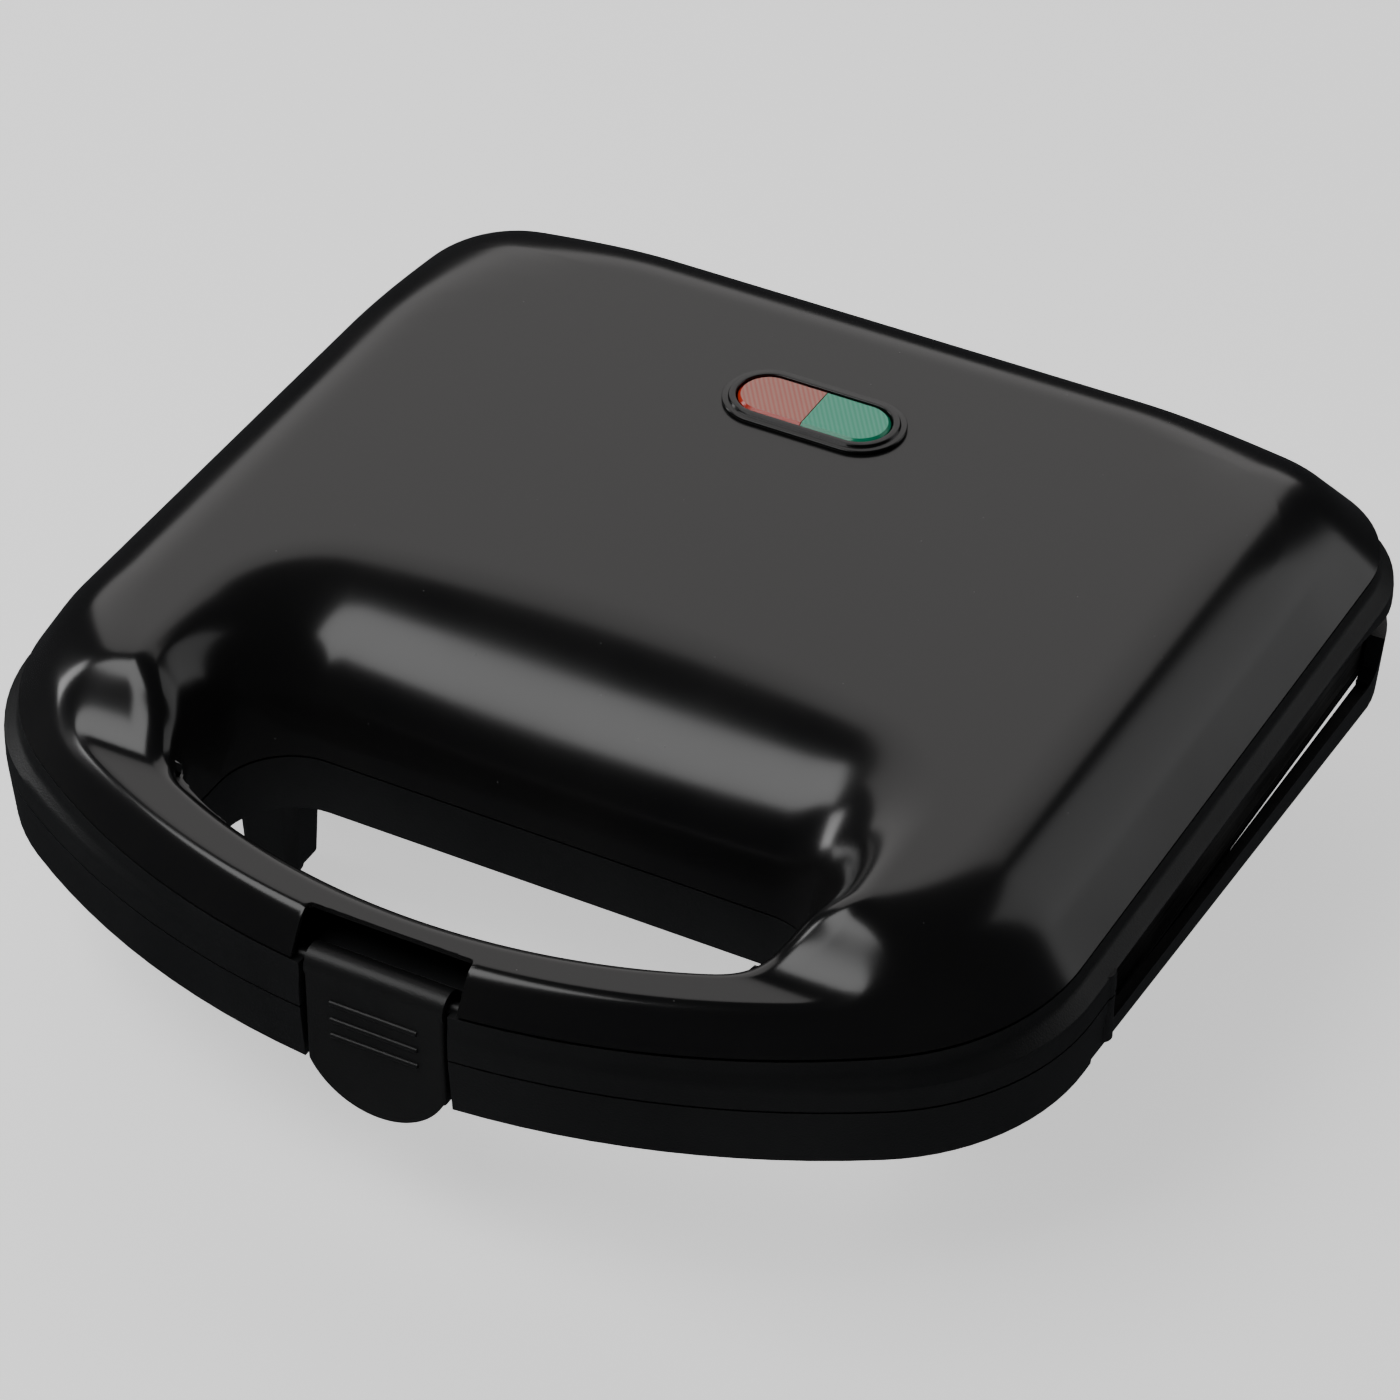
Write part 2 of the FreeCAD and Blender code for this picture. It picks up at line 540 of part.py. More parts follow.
def lower_housing():
    top_z = BAND_Z + 0.4
    outer = tub(116.0, (-51.2, 113.4), 103.0, (-27.0, 100.0), top_z, FLOOR_Z, 22.0)
    inner = tub(113.4, (-48.6, 110.8), 100.4, (-24.4, 97.4), top_z + 0.1, FLOOR_Z + WALL, 20.0)
    legs = []
    for x, y in LEGS:
        leg = Part.makeLoft([rect_wire(8.0, -6.5, 6.5, BAND_Z - 2, 3.0),
                             rect_wire(6.4, -5.6, 5.6, PAD_Z + 1.5, 2.5),
                             rect_wire(5.2, -4.8, 4.8, PAD_Z, 2.0)], True, True)
        leg.translate(V(x, y, 0))
        legs.append(leg.cut(inner))
    rim = prism(inset(FRAME, 4.8), top_z - 1.5, top_z).cut([inner, box(-130, 130, -130, -51.2, 20, 40)])
    body = outer.cut(inner).fuse(legs + [rim])
    posts = [cyl(x, y, FLOOR_Z + WALL, PART_Z - HALF_GAP - PLATE_T, 4.5) for x, y in POSTS]
    feet = [cyl(x, y, FLOOR_Z, FLOOR_Z + WALL + 2, 5.5) for x, y in POSTS]
    body = body.fuse(posts + feet)
    holes = [cyl(x, y, FLOOR_Z - 1, 50, 1.7) for x, y in POSTS]
    counterbores = [cyl(x, y, FLOOR_Z - 1, FLOOR_Z + 3.0, 3.3) for x, y in POSTS]
    slots = [rounded_box(x - 1.5, x + 1.5, 20, 50, FLOOR_Z - 1, FLOOR_Z + 4, 1.4) for x in range(-28, 29, 8)]
    gland_hole = Part.makeCylinder(5.0, 40.0, V(58.0, 90.0, 23.0), V(0, 1, 0))
    return body.cut(holes + counterbores + slots + [gland_hole])


def cord_gland():
    """Bush in the housing's back wall where a supply lead would pass."""
    body = Part.makeCylinder(4.95, 12.0, V(58.0, 99.0, 23.0), V(0, 1, 0))
    lip = Part.makeCylinder(6.8, 2.4, V(58.0, 111.0, 23.0), V(0, 1, 0))
    return body.fuse(lip).cut(Part.makeCylinder(3.3, 30.0, V(58.0, 95.0, 23.0), V(0, 1, 0)))


def terminal_block():
    block = rounded_box(-18.0, 18.0, 78.0, 90.0, FLOOR_Z + WALL, 21.0, 1.5)
    return block.cut([cyl(x, 84.0, 18.0, 22.0, 2.4) for x in (-12.0, 0.0, 12.0)])


def group(shapes):
    return Part.makeCompound(shapes)


def build():
    os.makedirs("parts", exist_ok=True)
    plate_low = PART_Z - HALF_GAP - PLATE_T - CUP_T
    plate_high = 2 * PART_Z - plate_low
    save("top_cover", top_cover())
    save("upper_frame", upper_frame())
    save("upper_plate", ring_plate(True))
    save("upper_heater", heater(plate_high + 3.3))
    save("upper_heater_beads", group(heater_beads(plate_high + 3.3)))
    save("upper_heater_clips", group(heater_clips(plate_high, plate_high + 3.3, 1)))
    save("upper_heat_shield", pressed_pan(60.0, 70.0, 102.0, (-40.0, 104.0), False))
    save("upper_plate_screws", group([screw(x, y, 63.0, 54.0, 3.0, 2.2) for x, y in POSTS]))
    save("cover_screws", group([screw(x, y, 52.6, SEAM_Z + 5.5, 3.0, 1.9) for x, y in COVER_BOSSES]))
    save("lamp_bezel", lamp_bezel())
    save("red_lens", lens(-1))
    save("green_lens", lens(1))
    save("lamp_holder", lamp_holder())
    save("neon_lamps", group(neon_lamps()))
    save("thermostat", cyl(0, 32, plate_high, 66.9, 8.0).fuse(cyl(0, 32, 62.0, 64.0, 9.5)))
    save("thermostat_bracket", thermostat_bracket())
    fuse_z = plate_high + 2.0
    save("thermal_fuse", rod_x(-6, 6, 48.0, fuse_z, 2.0).fuse(rod_x(-12, 12, 48.0, fuse_z, 0.6)))
    save("latch_pin", rod_x(-19.5, 19.5, PIVOT_Y, PIVOT_Z, PIN_R))
    save("latch", latch())
    save("lower_frame", lower_frame())
    save("lower_housing", lower_housing())
    save("lower_plate", ring_plate(False))
    save("lower_heater", heater(plate_low - 3.3))
    save("lower_heater_beads", group(heater_beads(plate_low - 3.3)))
    save("lower_heater_clips", group(heater_clips(plate_low, plate_low - 3.3, -1)))
    save("heat_shield_tray", pressed_pan(BAND_Z + 0.5 + SHEET, 24.8, 116.2, (-41.5, 104.0), True))
    save("housing_screws", group([screw(x, y, 11.4, 44.5, 3.0, 2.4) for x, y in POSTS]))
    save("terminal_block", terminal_block())
    save("terminal_screws", group([cyl(x, 84.0, 18.0, 21.6, 2.3) for x in (-12.0, 0.0, 12.0)]))
    save("cord_gland", cord_gland())
    save("foot_pads", group([cyl(x, y, 0.0, PAD_Z, 4.6) for x, y in LEGS]))
    half = LID_KNUCKLE / 2 + KNUCKLE_CLEAR + BASE_KNUCKLE
    pins = mirrored_pair(rod_x(HINGE_X - half, HINGE_X + half, HINGE_Y, PART_Z, PIN_R))
    save("hinge_pins", group(pins))


build()
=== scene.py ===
# %% Load the frame
import json
import math
import bpy
import bmesh
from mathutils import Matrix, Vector


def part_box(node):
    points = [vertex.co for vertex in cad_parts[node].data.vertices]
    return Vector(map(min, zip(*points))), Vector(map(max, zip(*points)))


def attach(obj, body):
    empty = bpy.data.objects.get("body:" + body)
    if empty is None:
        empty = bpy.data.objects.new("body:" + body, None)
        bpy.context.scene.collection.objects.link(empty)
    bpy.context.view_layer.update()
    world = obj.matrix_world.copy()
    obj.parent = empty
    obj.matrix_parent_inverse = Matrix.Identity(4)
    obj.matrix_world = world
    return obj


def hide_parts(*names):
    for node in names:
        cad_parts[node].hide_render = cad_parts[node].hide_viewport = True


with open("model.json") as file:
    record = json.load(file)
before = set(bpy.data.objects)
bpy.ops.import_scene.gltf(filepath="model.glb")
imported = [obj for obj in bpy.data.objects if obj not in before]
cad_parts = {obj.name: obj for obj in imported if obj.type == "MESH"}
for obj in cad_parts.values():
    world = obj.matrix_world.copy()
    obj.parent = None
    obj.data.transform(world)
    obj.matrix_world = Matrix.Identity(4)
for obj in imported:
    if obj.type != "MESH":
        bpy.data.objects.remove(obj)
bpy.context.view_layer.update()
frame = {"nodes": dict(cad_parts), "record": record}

MM = 0.001
print("CAD nodes:", len(frame["nodes"]))

# %% [markdown]
# ## How this lesson is laid out
# The donut maker is already built as a working assembly: every piece has its size and place. What is left is
# what a moulder and a photographer care about: the deep gloss of the cover, the satin of the frames, the
# soft broken edges and the light. Pieces whose shape is finished keep their mesh and get a better surface.
# Pieces whose edges catch the light are copied, given rounded edges, and stand in for the original.

# %% Helpers for selecting and finishing
def select_only(obj):
    """Make one object the only selected and active one."""
    bpy.ops.object.select_all(action="DESELECT")
    obj.select_set(True)
    bpy.context.view_layer.objects.active = obj


def apply_modifiers(obj):
    select_only(obj)
    for name in [m.name for m in obj.modifiers]:
        bpy.ops.object.modifier_apply(modifier=name)


def smooth(obj, degrees):
    """Smooth shading that stays sharp where faces meet at more than the angle."""
    select_only(obj)
    bpy.ops.object.shade_smooth_by_angle(angle=math.radians(degrees))


def even_shading(obj):
    """Let the large faces decide the shading, so that a narrow round does not darken its neighbours."""
    weighted = obj.modifiers.new("even_shading", "WEIGHTED_NORMAL")
    weighted.keep_sharp = True
    weighted.weight = 80
    apply_modifiers(obj)


def bake_place(obj):
    """Put the object's place in its mesh, so its own origin stays at the frame's."""
    select_only(obj)
    bpy.ops.object.transform_apply(location=True, rotation=True, scale=True)


def centre(node):
    low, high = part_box(node)
    return (low + high) / 2


bpy.ops.object.select_all(action="DESELECT")

# %% [markdown]
# ## Camera
# A product picture of a small appliance is taken with a long lens from over a metre away, so that the
# sides stay almost parallel. The camera stands to the right of the handle and looks down at it.
# Azimuth, elevation and distance say that more plainly than three coordinates would.

# %% Camera
AZIMUTH = math.radians(28.33)
ELEVATION = math.radians(38.18)
DISTANCE = 1.18715
AIM = Vector((0.02845, -0.04136, 0.08410))
LENS = 154.2

back = Vector((math.sin(AZIMUTH) * math.cos(ELEVATION), -math.cos(AZIMUTH) * math.cos(ELEVATION),
               math.sin(ELEVATION)))
camera_data = bpy.data.cameras.new("camera")
camera_data.lens = LENS
camera_data.sensor_width = 36.0
camera_data.clip_start = 0.05
camera = bpy.data.objects.new("camera", camera_data)
bpy.context.collection.objects.link(camera)
camera.location = AIM + back * DISTANCE
camera.rotation_euler = back.to_track_quat("Z", "Y").to_euler()
bpy.context.scene.camera = camera
print("camera at", [round(v, 3) for v in camera.location])

# %% [markdown]
# ## Floor and light
# Black gloss has almost no colour of its own: what is seen on it is the room. So each lamp is placed by
# what it must draw on the cover. A wide dim panel behind gives the flat top its even grey, a bright box
# high in front lights the finger scoop and the handle, and a panel at the right draws the soft band down
# the side. Between them the room stays dark, which leaves the deep black bands at the rounded edges.

# %% Floor and lights
world = bpy.data.worlds.new("studio")
bpy.context.scene.world = world
world.use_nodes = True
world.node_tree.nodes["Background"].inputs["Color"].default_value = (0.9, 0.93, 1.0, 1.0)
world.node_tree.nodes["Background"].inputs["Strength"].default_value = 0.03


def area_light(name, direction, distance, size, power, aim=(0.0, 0.0, 0.06), colour=(1.0, 1.0, 1.0)):
    """A rectangular lamp out along a direction, facing the object."""
    data = bpy.data.lights.new(name, "AREA")
    data.shape = "RECTANGLE"
    data.size = size[0]
    data.size_y = size[1]
    data.energy = power
    data.color = colour
    lamp = bpy.data.objects.new(name, data)
    bpy.context.collection.objects.link(lamp)
    away = Vector(direction).normalized()
    lamp.location = Vector(aim) + away * distance
    lamp.rotation_euler = away.to_track_quat("Z", "Y").to_euler()
    return lamp


area_light("back_panel", (-0.42, 0.74, 0.56), 2.2, (2.8, 1.7), 15.5, colour=(1.0, 0.975, 0.965))
area_light("front_box", (-0.42, -0.38, 0.82), 1.1, (0.95, 0.55), 6.0)
area_light("right_panel", (0.66, 0.66, 0.36), 1.5, (0.8, 1.3), 2.8)
area_light("left_strip", (-0.95, -0.1, 0.30), 1.3, (0.25, 0.6), 2.5)

bpy.ops.mesh.primitive_plane_add(size=8.0, location=(0.0, 0.0, 0.0))
floor = bpy.context.active_object
floor.name = "floor"
floor.visible_glossy = False    # the gloss mirrors the dark room and not the pale floor

# %% [markdown]
# ## Shared surface effects
# Three effects come back in many finishes: the grain and slow unevenness of a moulded surface, rare specks
# of dust, and the straight lines of brushed sheet. Each is a small node group that puts out masks and
# heights. The shader stays in the material, so each finish keeps its own colour and gloss.

# %% Node groups
def new_group(name, inputs, outputs):
    """An empty shader group with float sockets: inputs are (name, default) pairs."""
    group = bpy.data.node_groups.new(name, "ShaderNodeTree")
    for socket_name, default in inputs:
        socket = group.interface.new_socket(socket_name, in_out="INPUT", socket_type="NodeSocketFloat")
        socket.default_value = default
    for socket_name in outputs:
        group.interface.new_socket(socket_name, in_out="OUTPUT", socket_type="NodeSocketFloat")
    start = group.nodes.new("NodeGroupInput")
    end = group.nodes.new("NodeGroupOutput")
    coords = group.nodes.new("ShaderNodeTexCoord")
    return group, start, end, coords


def add_noise(tree, vector, scale, detail=2.0, roughness=0.5):
    noise = tree.nodes.new("ShaderNodeTexNoise")
    noise.inputs["Detail"].default_value = detail
    noise.inputs["Roughness"].default_value = roughness
    tree.links.new(vector, noise.inputs["Vector"])
    if isinstance(scale, float):
        noise.inputs["Scale"].default_value = scale
    else:
        tree.links.new(scale, noise.inputs["Scale"])
    return noise.outputs["Fac"]


def add_range(tree, value, low, high, to_low, to_high):
    remap = tree.nodes.new("ShaderNodeMapRange")
    remap.inputs["From Min"].default_value = low
    remap.inputs["From Max"].default_value = high
    remap.inputs["To Min"].default_value = to_low
    remap.inputs["To Max"].default_value = to_high
    tree.links.new(value, remap.inputs["Value"])
    return remap.outputs["Result"]


def grain_group():
    """Mould grain as a height, and slow patches as a mask."""
    group, start, end, coords = new_group("mould_grain", [("Scale", 1800.0)], ["Height", "Patch"])
    fine = add_noise(group, coords.outputs["Object"], start.outputs["Scale"], 3.0, 0.6)
    patch = add_noise(group, coords.outputs["Object"], 28.0, 4.0)
    group.links.new(fine, end.inputs["Height"])
    group.links.new(add_range(group, patch, 0.3, 0.7, 0.0, 1.0), end.inputs["Patch"])
    return group


def dust_group():
    """Rare pale specks, as a few grains of dust settle on a polished part."""
    group, start, end, coords = new_group("settled_dust", [("Scale", 420.0)], ["Speck"])
    cells = group.nodes.new("ShaderNodeTexVoronoi")
    group.links.new(coords.outputs["Object"], cells.inputs["Vector"])
    group.links.new(start.outputs["Scale"], cells.inputs["Scale"])
    near = add_range(group, cells.outputs["Distance"], 0.05, 0.10, 1.0, 0.0)
    parts = group.nodes.new("ShaderNodeSeparateColor")
    group.links.new(cells.outputs["Color"], parts.inputs["Color"])
    rare = add_range(group, parts.outputs["Red"], 0.975, 0.985, 0.0, 1.0)
    both = group.nodes.new("ShaderNodeMath")
    both.operation = "MULTIPLY"
    group.links.new(near, both.inputs[0])
    group.links.new(rare, both.inputs[1])
    group.links.new(both.outputs["Value"], end.inputs["Speck"])
    return group


def brushed_group():
    """Long thin streaks along Y, from noise that is stretched in that direction."""
    group, start, end, coords = new_group("brushed_lines", [("Scale", 60.0)], ["Streak"])
    stretch = group.nodes.new("ShaderNodeMapping")
    stretch.inputs["Scale"].default_value = (40.0, 1.0, 40.0)
    group.links.new(coords.outputs["Object"], stretch.inputs["Vector"])
    streak = add_noise(group, stretch.outputs["Vector"], start.outputs["Scale"], 3.0, 0.6)
    group.links.new(add_range(group, streak, 0.3, 0.7, 0.0, 1.0), end.inputs["Streak"])
    return group


GRAIN = grain_group()
DUST = dust_group()
BRUSHED = brushed_group()
print("groups:", [g.name for g in bpy.data.node_groups])

# %% [markdown]
# ## Finishes
# Every finish starts from the same few steps: a Principled shader, one group for its unevenness, a colour
# that drifts a little and a bump. The function below makes those, and each finish adds what is its own.

# %% Finish builder
def place_group(tree, group, scale):
    node = tree.nodes.new("ShaderNodeGroup")
    node.node_tree = group
    node.inputs["Scale"].default_value = scale
    return node


def mix_colours(tree, mask, first, second):
    """Colour that goes from first to second with the mask."""
    mix = tree.nodes.new("ShaderNodeMix")
    mix.data_type = "RGBA"
    mix.inputs["A"].default_value = (*first, 1.0)
    mix.inputs["B"].default_value = (*second, 1.0)
    tree.links.new(mask, mix.inputs["Factor"])
    return mix.outputs["Result"]


def finish(name, dark, light, rough, grain, depth, metallic=0.0):
    """A surface whose colour and gloss drift between two values over a fine grain."""
    material = bpy.data.materials.new(name)
    material.use_nodes = True
    tree = material.node_tree
    shader = tree.nodes["Principled BSDF"]
    shader.inputs["Metallic"].default_value = metallic
    surface = place_group(tree, GRAIN, grain)
    tree.links.new(mix_colours(tree, surface.outputs["Patch"], dark, light), shader.inputs["Base Color"])
    tree.links.new(add_range(tree, surface.outputs["Patch"], 0.0, 1.0, rough[0], rough[1]),
                   shader.inputs["Roughness"])
    bump = tree.nodes.new("ShaderNodeBump")
    bump.inputs["Strength"].default_value = depth
    bump.inputs["Distance"].default_value = 0.0002
    tree.links.new(surface.outputs["Height"], bump.inputs["Height"])
    tree.links.new(bump.outputs["Normal"], shader.inputs["Normal"])
    return material


def cover_gloss():
    """Polished black cover: faint waviness and a few specks of dust."""
    dark, light = (0.0075, 0.0075, 0.008), (0.0095, 0.0093, 0.0092)
    material = finish("cover_gloss", dark, light, (0.17, 0.22), 55.0, 0.04)
    tree = material.node_tree
    shader = tree.nodes["Principled BSDF"]
    specks = place_group(tree, DUST, 520.0)
    plain = shader.inputs["Base Color"].links[0].from_socket
    dusty = tree.nodes.new("ShaderNodeMix")
    dusty.data_type = "RGBA"
    dusty.inputs["B"].default_value = (0.10, 0.10, 0.10, 1.0)
    tree.links.new(specks.outputs["Speck"], dusty.inputs["Factor"])
    tree.links.new(plain, dusty.inputs["A"])
    tree.links.new(dusty.outputs["Result"], shader.inputs["Base Color"])
    return material


def lens_plastic(name, deep, pale, stripe_turn):
    """Ribbed lamp lens: fine slanting ribs over a deep translucent colour, with a painted sheen that turns
    the ribs pale on faces that look up.
    """
    material = finish(name, deep, tuple(c * 1.15 for c in deep), (0.16, 0.22), 900.0, 0.05)
    tree = material.node_tree
    shader = tree.nodes["Principled BSDF"]
    shader.inputs["Transmission Weight"].default_value = 0.25
    shader.inputs["IOR"].default_value = 1.49
    coords = tree.nodes.new("ShaderNodeTexCoord")
    turn = tree.nodes.new("ShaderNodeMapping")
    turn.inputs["Rotation"].default_value = (0.0, 0.0, stripe_turn)
    tree.links.new(coords.outputs["Object"], turn.inputs["Vector"])
    ribs = tree.nodes.new("ShaderNodeTexWave")
    ribs.wave_profile = "SIN"
    ribs.inputs["Scale"].default_value = 320.0
    tree.links.new(turn.outputs["Vector"], ribs.inputs["Vector"])
    normal = tree.nodes.new("ShaderNodeNewGeometry")
    upright = tree.nodes.new("ShaderNodeSeparateXYZ")
    tree.links.new(normal.outputs["Normal"], upright.inputs["Vector"])
    # Painted sheen: the pale colour shows on the ribs only where the face looks up, as if lit from above;
    # the same rib mask also drives the bump.
    top = add_range(tree, upright.outputs["Z"], 0.9, 0.99, 0.0, 1.0)
    rib_relief_and_sheen = tree.nodes.new("ShaderNodeMath")
    rib_relief_and_sheen.operation = "MULTIPLY"
    tree.links.new(add_range(tree, ribs.outputs["Fac"], 0.0, 1.0, 0.55, 1.0), rib_relief_and_sheen.inputs[0])
    tree.links.new(top, rib_relief_and_sheen.inputs[1])
    tree.links.new(mix_colours(tree, rib_relief_and_sheen.outputs["Value"], deep, pale), shader.inputs["Base Color"])
    bump = tree.nodes["Bump"]
    bump.inputs["Strength"].default_value = 0.35
    tree.links.new(rib_relief_and_sheen.outputs["Value"], bump.inputs["Height"])
    return material


def brushed_sheet():
    """Steel sheet brushed along its length."""
    material = finish("brushed_sheet", (0.30, 0.30, 0.295), (0.46, 0.45, 0.44), (0.30, 0.5), 700.0, 0.1, 1.0)
    tree = material.node_tree
    shader = tree.nodes["Principled BSDF"]
    lines = place_group(tree, BRUSHED, 60.0)
    tree.links.new(mix_colours(tree, lines.outputs["Streak"], (0.12, 0.12, 0.118), (0.34, 0.335, 0.33)),
                   shader.inputs["Base Color"])
    tree.links.new(lines.outputs["Streak"], tree.nodes["Bump"].inputs["Height"])
    return material


def coated_plate():
    """Non-stick coating with its pale flecks on cast aluminium."""
    dark, light = (0.018, 0.018, 0.019), (0.026, 0.026, 0.027)
    material = finish("coated_plate", dark, light, (0.34, 0.46), 1500.0, 0.25)
    tree = material.node_tree
    shader = tree.nodes["Principled BSDF"]
    flecks = place_group(tree, DUST, 1400.0)
    tree.links.new(mix_colours(tree, flecks.outputs["Speck"], (0.02, 0.02, 0.021), (0.16, 0.16, 0.16)),
                   shader.inputs["Base Color"])
    return material


RIB_TURN = math.radians(-35)
FINISHES = {
    "gloss_black": cover_gloss(),
    "matte_black": finish("frame_satin", (0.0075, 0.0078, 0.0083), (0.0100, 0.0104, 0.011), (0.42, 0.50),
                          2200.0, 0.35),
    "satin_black": finish("latch_satin", (0.0085, 0.0087, 0.009), (0.0110, 0.0112, 0.0115), (0.34, 0.42),
                          2600.0, 0.22),
    # The second colour of each lens is the painted sheen on its ribs.
    "red_lens": lens_plastic("red_lens_plastic", (0.80, 0.045, 0.018), (0.78, 0.36, 0.29), RIB_TURN),
    "green_lens": lens_plastic("green_lens_plastic", (0.0, 0.48, 0.25), (0.12, 0.70, 0.46), RIB_TURN),
    "nonstick": coated_plate(),
    "sheet_steel": brushed_sheet(),
    "steel": finish("oxidised_steel", (0.20, 0.19, 0.18), (0.42, 0.41, 0.40), (0.32, 0.5), 600.0, 0.2, 1.0),
    "zinc": finish("zinc_plate", (0.5, 0.5, 0.47), (0.68, 0.67, 0.62), (0.28, 0.42), 900.0, 0.15, 1.0),
    "brass": finish("screw_brass", (0.55, 0.38, 0.14), (0.72, 0.52, 0.22), (0.25, 0.4), 900.0, 0.15, 1.0),
    "ceramic": finish("ceramic_bead", (0.62, 0.59, 0.52), (0.78, 0.76, 0.70), (0.6, 0.8), 1200.0, 0.5),
    "rubber": finish("foot_rubber", (0.010, 0.010, 0.010), (0.022, 0.022, 0.022), (0.7, 0.85), 1500.0, 0.6),
    "white_plastic": finish("lamp_tray_plastic", (0.66, 0.65, 0.61), (0.80, 0.79, 0.75), (0.4, 0.5),
                            1500.0, 0.2),
}
for slot_name in ("matte_black", "satin_black"):
    FINISHES[slot_name].node_tree.nodes["Principled BSDF"].inputs["Specular IOR Level"].default_value = 0.35
glass = finish("lamp_glass", (0.85, 0.85, 0.85), (0.95, 0.95, 0.95), (0.03, 0.06), 200.0, 0.02)
glass.node_tree.nodes["Principled BSDF"].inputs["Transmission Weight"].default_value = 1.0
FINISHES["clear_glass"] = glass
pale = finish("pale_floor", (0.86, 0.86, 0.86), (0.88, 0.88, 0.88), (0.6, 0.7), 40.0, 0.02)
pale.node_tree.nodes["Principled BSDF"].inputs["Emission Color"].default_value = (1.0, 1.0, 1.0, 1.0)
pale.node_tree.nodes["Principled BSDF"].inputs["Emission Strength"].default_value = 0.85
floor.data.materials.append(pale)
SLOTS = {part["node"]: part["material_slot"] for part in frame["record"]["subparts"]}


def paint(obj, slot_name):
    """Give a piece the finish of one slot of the record."""
    obj.data.materials.clear()
    obj.data.materials.append(FINISHES[slot_name])


for node_name, node in frame["nodes"].items():
    paint(node, SLOTS[node_name])
print("finishes:", sorted(FINISHES))

# %% [markdown]
# ## The glossy cover
# The real cover is one moulding: a flat top that rolls over at its edges, a deep scoop that leads the
# fingers to the opening, and a handle bar in front. On high gloss every facet shows, so the skin has to be
# much finer than the CAD mesh. A long strip of grid is wrapped round the opening: one side of the strip
# follows the opening, the other side follows the seam, and each point is lifted to the height of the
# moulding there. Rows crowd together where the surface turns fastest.

# %% Outlines of the cover
cover_low, cover_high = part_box("top_cover")
SEAM_Z = 58.0 * MM
TOP_Z = cover_high.z
SEAM = dict(w=cover_high.x, yf=-122.8 * MM, rf=170.0 * MM, cf=50.0 * MM, yb=117.0 * MM, cb=28.0 * MM)
HOLE = dict(w=67.5 * MM, yf=-105.5 * MM, rf=150.0 * MM, cf=14.0 * MM, yb=-54.3 * MM, cb=16.0 * MM)
TOP = dict(w=92.0 * MM, yf=-96.8 * MM, rf=144.0 * MM, cf=26.0 * MM, yb=91.0 * MM, cb=36.0 * MM)
RIM = dict(w=83.0 * MM, yf=-111.0 * MM, rf=137.0 * MM, cf=22.0 * MM, yb=-15.5 * MM, cb=30.0 * MM,
           rb=276.0 * MM)


def arc_centres(o):
    """Front arc's y, front corner and back corner of an outline."""
    front_y = o["yf"] + o["rf"]
    fx = o["w"] - o["cf"]
    fy = front_y - math.sqrt((o["rf"] - o["cf"]) ** 2 - fx ** 2)
    bx = o["w"] - o["cb"]
    by = o["yb"] - o["cb"]
    if "rb" in o:
        by = o["yb"] - o["rb"] + math.sqrt((o["rb"] - o["cb"]) ** 2 - bx ** 2)
    return front_y, (fx, fy), (bx, by)


def half_outline(o):
    """Function from 0..1 to the right half of an outline, front middle to back middle, by length."""
    front_y, (fx, fy), (bx, by) = arc_centres(o)
    swing = math.atan2(fx, front_y - fy)
    down = -math.pi / 2
    runs = [("arc", 0.0, front_y, o["rf"], down, down + swing), ("arc", fx, fy, o["cf"], down + swing, 0.0),
            ("line", o["w"], fy, o["w"], by), ("arc", bx, by, o["cb"], 0.0, math.pi / 2),
            ("line", bx, o["yb"], 0.0, o["yb"])]
    lengths = [r[3] * (r[5] - r[4]) if r[0] == "arc" else math.hypot(r[3] - r[1], r[4] - r[2]) for r in runs]
    total = sum(lengths)

    def point(t):
        along = t * total
        for run, length in zip(runs, lengths):
            if along <= length or run is runs[-1]:
                break
            along -= length
        share = min(along / length, 1.0)
        if run[0] == "arc":
            angle = run[4] + share * (run[5] - run[4])
            return run[1] + run[3] * math.cos(angle), run[2] + run[3] * math.sin(angle)
        return run[1] + share * (run[3] - run[1]), run[2] + share * (run[4] - run[2])

    return point


def around(half_point, u):
    """Point at 0..1 of the whole way round, starting and ending at the front middle."""
    x, y = half_point(1 - abs(2 * u - 1))
    return (x, y) if u >= 0.5 else (-x, y)


def depth_inside(o, x, y):
    """Distance from (x, y) to an outline, positive inside it."""
    front_y, (fx, fy), (bx, by) = arc_centres(o)
    x = abs(x)
    back_y = o["yb"] - o.get("rb", 10.0)
    if y < fy and x * (front_y - fy) > fx * (front_y - y):
        return o["cf"] - math.hypot(x - fx, y - fy)
    if y > by and x * (by - back_y) > bx * (y - back_y):
        return o["cb"] - math.hypot(x - bx, y - by)
    straight = o["rb"] - math.hypot(x, y - back_y) if "rb" in o else o["yb"] - y
    return min(o["w"] - x, o["rf"] - math.hypot(x, y - front_y), straight)


print("seam is", round(SEAM["w"] * 2000, 1), "mm wide, top at", round(TOP_Z * 1000, 1), "mm")

# %% Height of the cover
EDGE_R = 24.0 * MM
EDGE_WIDTH = 26.0 * MM
EDGE_SLOPE = 1.6
FLAT_Z = 79.0 * MM
CREST_Z = 67.0 * MM
SHOULDER = 16.0 * MM
SHOULDER_Y = (-96.0 * MM, 28.0 * MM)
LIP_FRONT_Z = 60.5 * MM
LIP_BACK_Z = 49.0 * MM
LIP_Y = (-90.0 * MM, 25.0 * MM)
BLEND = 3.0 * MM
EASE = 0.15 * MM


def smooth_step(t):
    t = min(max(t, 0.0), 1.0)
    return t * t * t * (t * (6 * t - 15) + 10)


def smooth_min(a, b):
    h = max(BLEND - abs(a - b), 0.0) / BLEND
    return min(a, b) - h * h * BLEND / 4


